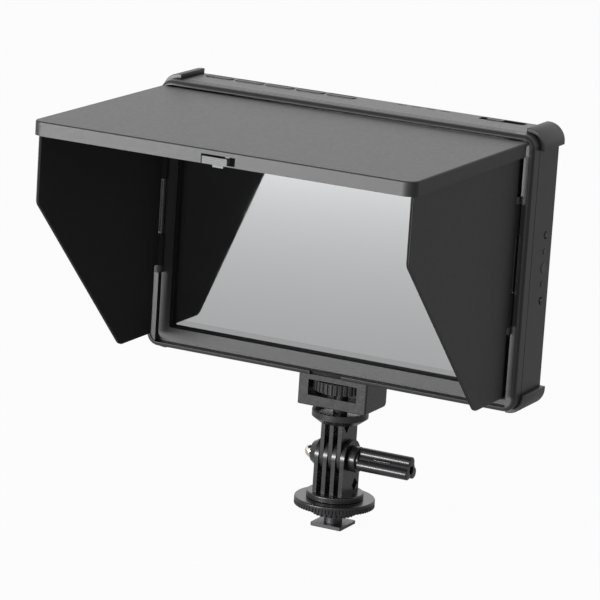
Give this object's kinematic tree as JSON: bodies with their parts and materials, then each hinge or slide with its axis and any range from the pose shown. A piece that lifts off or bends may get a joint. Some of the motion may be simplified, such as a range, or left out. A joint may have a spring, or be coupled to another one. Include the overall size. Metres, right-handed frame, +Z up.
{
  "type": "camera field monitor with sun hood",
  "caption": "Camera-top field monitor: flat screen in a dark case with rubber corner guards, folding sun hood, press keys and a tilting, swivelling accessory-shoe mount.",
  "frame": {"origin": "centre of the shoe foot's flat underside", "axes": "+X along the screen's width to the viewer's right, the screen faces -Y, +Z up"},
  "size_m": [0.2248, 0.1812, 0.2362],
  "materials": {
    "case_plastic": "fine moulded texture, satin",
    "guard_rubber": "soft satin rubber",
    "screen_glass": "polished, mirror-like over the dark panel",
    "lcd_glass": "dark, switched off",
    "light_guide": "white",
    "circuit_board": "green solder mask",
    "chip_plastic": "matt black",
    "bright_metal": "plated",
    "dark_metal": "black-plated",
    "pin_steel": "drawn",
    "key_plastic": "satin",
    "hood_plastic": "fine grain, satin",
    "battery_plate_plastic": "satin",
    "contact_brass": "plated",
    "mount_plastic": "satin, slightly glossy edges",
    "nut_chrome": "polished",
    "foot_metal": "black-anodised"
  },
  "bodies": {
    "foot": {"shoe_foot": "foot_metal", "lower_clevis": "mount_plastic", "acorn_nut": "nut_chrome"},
    "lock_wheel": {"lock_wheel": "mount_plastic"},
    "handle": {"cross_bolt": "dark_metal", "bolt_handle": "mount_plastic"},
    "upper": {"upper_clevis": "mount_plastic", "swivel_screw": "dark_metal"},
    "monitor": {"front_frame": "case_plastic", "rear_shell": "case_plastic", "guard_top_left": "guard_rubber", "guard_top_right": "guard_rubber", "guard_bottom_left": "guard_rubber", "guard_bottom_right": "guard_rubber", "cover_glass": "screen_glass", "lcd_panel": "lcd_glass", "backlight_tray": "light_guide", "main_board": "circuit_board", "board_chips": "chip_plastic", "board_screws": "bright_metal", "video_socket_1": "bright_metal", "video_socket_2": "bright_metal", "socket_board": "circuit_board", "speaker": "chip_plastic", "shell_screws": "dark_metal", "tripod_insert": "dark_metal", "top_key_board": "circuit_board", "power_switch_body": "chip_plastic", "side_key_board": "circuit_board", "lid_pins": "pin_steel", "left_flap_pin": "pin_steel", "right_flap_pin": "pin_steel", "left_flap_spring": "pin_steel", "right_flap_spring": "pin_steel", "battery_plate": "battery_plate_plastic", "battery_contacts": "contact_brass", "plate_fixings": "dark_metal", "mount_pad": "guard_rubber", "mount_block": "mount_plastic"},
    "thumb_wheel": {"thumb_wheel": "mount_plastic", "tripod_screw": "dark_metal"},
    "lid": {"hood_lid": "hood_plastic", "latch_guides": "key_plastic"},
    "lid_latch": {"lid_latch": "key_plastic"},
    "left_flap": {"left_flap": "hood_plastic"},
    "right_flap": {"right_flap": "hood_plastic"},
    "power_switch": {"power_switch": "key_plastic"},
    "battery_release": {"battery_release": "battery_plate_plastic"},
    "function_key_1": {"function_key_1": "key_plastic"},
    "side_key_1": {"side_key_1": "key_plastic"},
    "function_key_2": {"function_key_2": "key_plastic"},
    "side_key_2": {"side_key_2": "key_plastic"},
    "function_key_3": {"function_key_3": "key_plastic"},
    "side_key_3": {"side_key_3": "key_plastic"},
    "function_key_4": {"function_key_4": "key_plastic"},
    "side_key_4": {"side_key_4": "key_plastic"},
    "function_key_5": {"function_key_5": "key_plastic"},
    "side_key_5": {"side_key_5": "key_plastic"}
  },
  "joints": [
    {"name": "lock_wheel_turn", "type": "hinge", "parent": "foot", "child": "lock_wheel", "pos_m": [0, 0, 0.012], "axis": [0, 0, 1], "continuous": true},
    {"name": "handle_turn", "type": "hinge", "parent": "foot", "child": "handle", "pos_m": [0, 0, 0.0391], "axis": [1, 0, 0], "continuous": true},
    {"name": "tilt", "type": "hinge", "parent": "foot", "child": "upper", "pos_m": [0, 0, 0.0391], "axis": [1, 0, 0], "range_deg": [-90, 90]},
    {"name": "swivel", "type": "hinge", "parent": "upper", "child": "monitor", "pos_m": [0, 0, 0.0674], "axis": [0, 0, 1], "continuous": true},
    {"name": "thumb_wheel_turn", "type": "hinge", "parent": "monitor", "child": "thumb_wheel", "pos_m": [0, 0, 0.0768], "axis": [0, 0, 1], "continuous": true},
    {"name": "lid_hinge", "type": "hinge", "parent": "monitor", "child": "lid", "pos_m": [0, -0.02355, 0.22545], "axis": [1, 0, 0], "range_deg": [-15, 0]},
    {"name": "latch_slide", "type": "slide", "parent": "lid", "child": "lid_latch", "axis": [0, 0, 1], "range_m": [0, 0.0012], "stiffness_N_per_m": 300, "springref_m": -0.0006},
    {"name": "left_flap_fold", "type": "hinge", "parent": "monitor", "child": "left_flap", "pos_m": [-0.1029, -0.0242, 0.1653], "axis": [0, 0, 1], "range_deg": [0, 90], "stiffness_Nm_per_rad": 0.03, "springref_deg": -28.65},
    {"name": "right_flap_fold", "type": "hinge", "parent": "monitor", "child": "right_flap", "pos_m": [0.1029, -0.0221, 0.1653], "axis": [0, 0, -1], "range_deg": [0, 90], "stiffness_Nm_per_rad": 0.03, "springref_deg": -28.65},
    {"name": "power_slide", "type": "slide", "parent": "monitor", "child": "power_switch", "axis": [1, 0, 0], "range_m": [0, 0.008]},
    {"name": "release_slide", "type": "slide", "parent": "monitor", "child": "battery_release", "axis": [0, 0, -1], "range_m": [0, 0.002], "stiffness_N_per_m": 500, "springref_m": -0.0006},
    {"name": "function_key_1_press", "type": "slide", "parent": "monitor", "child": "function_key_1", "axis": [0, 0, -1], "range_m": [0, 0.0006], "stiffness_N_per_m": 800, "springref_m": -0.0003},
    {"name": "side_key_1_press", "type": "slide", "parent": "monitor", "child": "side_key_1", "axis": [-1, 0, 0], "range_m": [0, 0.0005], "stiffness_N_per_m": 500, "springref_m": -0.0002},
    {"name": "function_key_2_press", "type": "slide", "parent": "monitor", "child": "function_key_2", "axis": [0, 0, -1], "range_m": [0, 0.0006], "stiffness_N_per_m": 800, "springref_m": -0.0003},
    {"name": "side_key_2_press", "type": "slide", "parent": "monitor", "child": "side_key_2", "axis": [-1, 0, 0], "range_m": [0, 0.0005], "stiffness_N_per_m": 500, "springref_m": -0.0002},
    {"name": "function_key_3_press", "type": "slide", "parent": "monitor", "child": "function_key_3", "axis": [0, 0, -1], "range_m": [0, 0.0006], "stiffness_N_per_m": 800, "springref_m": -0.0003},
    {"name": "side_key_3_press", "type": "slide", "parent": "monitor", "child": "side_key_3", "axis": [-1, 0, 0], "range_m": [0, 0.0005], "stiffness_N_per_m": 500, "springref_m": -0.0002},
    {"name": "function_key_4_press", "type": "slide", "parent": "monitor", "child": "function_key_4", "axis": [0, 0, -1], "range_m": [0, 0.0006], "stiffness_N_per_m": 800, "springref_m": -0.0003},
    {"name": "side_key_4_press", "type": "slide", "parent": "monitor", "child": "side_key_4", "axis": [-1, 0, 0], "range_m": [0, 0.0005], "stiffness_N_per_m": 500, "springref_m": -0.0002},
    {"name": "function_key_5_press", "type": "slide", "parent": "monitor", "child": "function_key_5", "axis": [0, 0, -1], "range_m": [0, 0.0006], "stiffness_N_per_m": 800, "springref_m": -0.0003},
    {"name": "side_key_5_press", "type": "slide", "parent": "monitor", "child": "side_key_5", "axis": [-1, 0, 0], "range_m": [0, 0.0005], "stiffness_N_per_m": 500, "springref_m": -0.0002}
  ]
}
